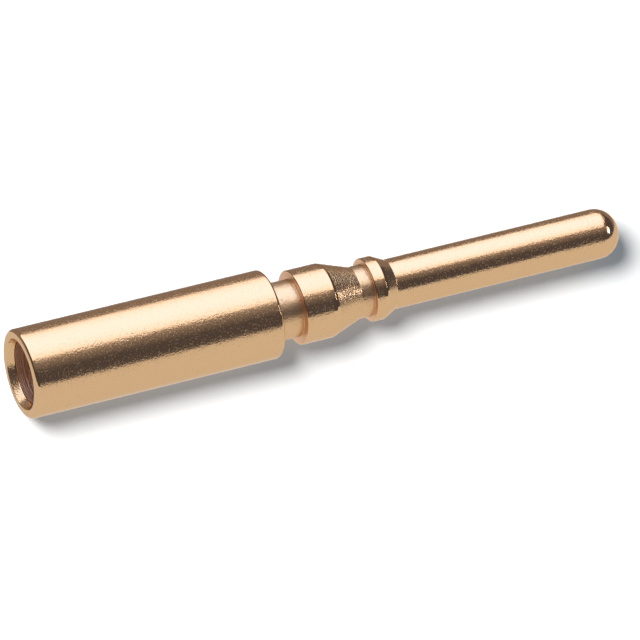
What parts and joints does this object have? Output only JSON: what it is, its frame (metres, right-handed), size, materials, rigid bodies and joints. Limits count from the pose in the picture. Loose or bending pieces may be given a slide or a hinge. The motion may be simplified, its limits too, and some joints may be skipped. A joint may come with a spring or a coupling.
{
  "type": "crimp pin contact",
  "caption": "Turned electrical pin contact with a round-nosed pin, a retaining collar and flange, and a hollow barrel that crimps onto a stripped wire.",
  "frame": {"origin": "centre of the crimp barrel's mouth face, on which the contact stands", "axes": "+Z along the contact's axis, from the barrel's mouth to the nose of the pin; X and Y are any two square directions, because the contact is round"},
  "size_m": [0.0036, 0.0036, 0.0254],
  "materials": {
    "gold_plated_brass": "satin gold plating over turned brass"
  },
  "bodies": {
    "root": {"crimp_pin_contact": "gold_plated_brass"}
  },
  "joints": []
}
